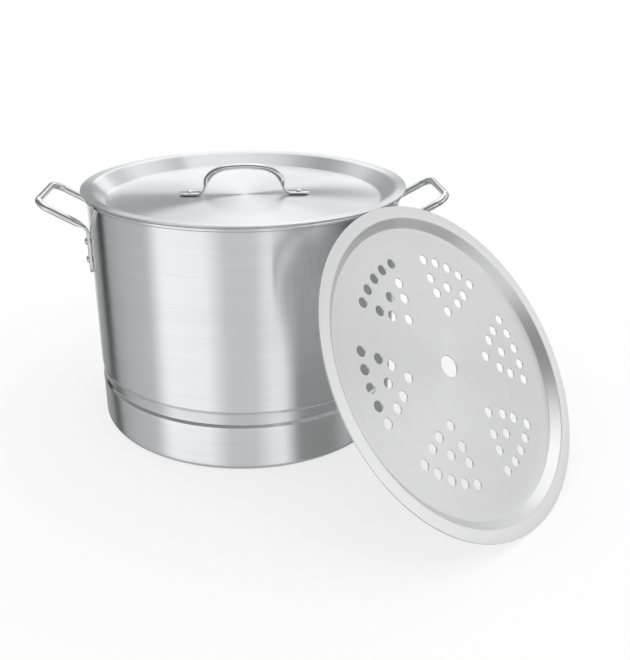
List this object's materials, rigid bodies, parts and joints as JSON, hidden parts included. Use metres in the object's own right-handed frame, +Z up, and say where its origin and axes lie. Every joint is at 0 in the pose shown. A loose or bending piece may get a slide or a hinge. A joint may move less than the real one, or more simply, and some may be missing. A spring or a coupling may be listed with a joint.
{
  "type": "stockpot",
  "caption": "Lidded aluminium stockpot with riveted rod handles, a rolled ledge low in its wall and a perforated steamer rack that lifts off where it leans on the lid.",
  "frame": {"origin": "middle of the base's underside, on the floor", "axes": "+Z up along the pot's axis, +X towards the right handle, -Y towards the viewer of the picture"},
  "size_m": [0.6101, 0.5611, 0.3121],
  "materials": {
    "spun_aluminium": "spun, bright satin",
    "satin_aluminium": "satin",
    "bright_steel": "polished",
    "rivet_aluminium": "satin"
  },
  "bodies": {
    "pot": {"pot_body": "spun_aluminium", "side_handle_left": "bright_steel", "side_handle_right": "bright_steel", "rivet_left_front_lower": "rivet_aluminium", "rivet_left_front_upper": "rivet_aluminium", "rivet_left_back_lower": "rivet_aluminium", "rivet_left_back_upper": "rivet_aluminium", "rivet_right_front_lower": "rivet_aluminium", "rivet_right_front_upper": "rivet_aluminium", "rivet_right_back_lower": "rivet_aluminium", "rivet_right_back_upper": "rivet_aluminium"},
    "lid": {"lid": "spun_aluminium", "lid_handle": "bright_steel", "lid_rivet_left": "rivet_aluminium", "lid_rivet_right": "rivet_aluminium"},
    "rack": {"steamer_rack": "satin_aluminium"}
  },
  "joints": [
    {"name": "lid_lift", "type": "slide", "parent": "pot", "child": "lid", "axis": [0, 0, 1], "range_m": [0, 0.25]},
    {"name": "rack_lift", "type": "slide", "parent": "pot", "child": "rack", "axis": [0, 0, 1], "range_m": [0, 0.3]}
  ]
}
